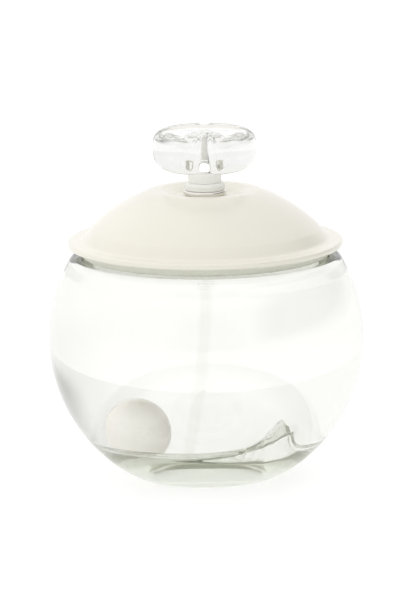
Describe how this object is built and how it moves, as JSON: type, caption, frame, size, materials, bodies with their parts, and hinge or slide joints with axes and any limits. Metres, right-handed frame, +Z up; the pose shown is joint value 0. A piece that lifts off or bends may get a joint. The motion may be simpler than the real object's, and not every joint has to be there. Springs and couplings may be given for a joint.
{
  "type": "glass globe flacon with domed lid",
  "caption": "Globe-shaped clear glass flacon with a lift-off pearly domed lid, a clear petal-shaped knob, a low pump under the lid and a loose pearl ball inside.",
  "frame": {"origin": "centre of the foot, on the surface that the flacon stands on", "axes": "+Z up through the knob; -Y is the front, where the pearl ball lies to the left; +X to the right"},
  "size_m": [0.07, 0.07, 0.078],
  "materials": {
    "globe_glass": "clear polished blown and pressed glass",
    "knob_glass": "clear, fire-polished",
    "pearl_lacquer": "satin pearl lacquer, warm ivory",
    "pearl_bead": "soft pearl coat",
    "frosted_acrylic": "frosted",
    "chrome": "bright plated",
    "ferrule_aluminium": "bright anodised",
    "steel": "drawn and turned",
    "natural_plastic": "moulded, off-white",
    "clear_plastic": "clear moulded",
    "soft_seal": "matt elastomer"
  },
  "bodies": {
    "globe": {"glass_globe": "globe_glass", "dip_tube": "clear_plastic", "pump_housing": "clear_plastic", "return_spring": "steel", "stem_seal": "soft_seal", "neck_gasket": "soft_seal", "pump_turret": "natural_plastic", "crimp_ferrule": "ferrule_aluminium"},
    "pearl": {"pearl_ball": "pearl_bead"},
    "inlet_valve": {"inlet_ball": "steel"},
    "pump_head": {"actuator_button": "natural_plastic", "nozzle_insert": "natural_plastic", "pump_stem": "natural_plastic", "pump_piston": "natural_plastic"},
    "lid": {"dome_shell": "pearl_lacquer", "grip_liner": "natural_plastic", "rim_seal": "soft_seal", "chrome_collar": "chrome", "stem_foot": "frosted_acrylic", "knob_stem": "frosted_acrylic", "knob_stud": "steel", "stud_washer": "steel", "stud_nut": "steel", "clear_knob": "knob_glass"}
  },
  "joints": [
    {"name": "cap_lift", "type": "slide", "parent": "globe", "child": "lid", "axis": [0, 0, 1], "range_m": [0, 0.04]},
    {"name": "actuator_press", "type": "slide", "parent": "globe", "child": "pump_head", "axis": [0, 0, -1], "range_m": [0, 0.002], "stiffness_N_per_m": 600, "springref_m": -0.002, "deforming": ["return_spring"]},
    {"name": "inlet_lift", "type": "slide", "parent": "globe", "child": "inlet_valve", "axis": [0, 0, 1], "range_m": [0, 0.0005]},
    {"name": "pearl_orbit", "type": "hinge", "parent": "globe", "child": "pearl", "pos_m": [0, 0, 0.0155], "axis": [0, 0, 1], "continuous": true}
  ]
}
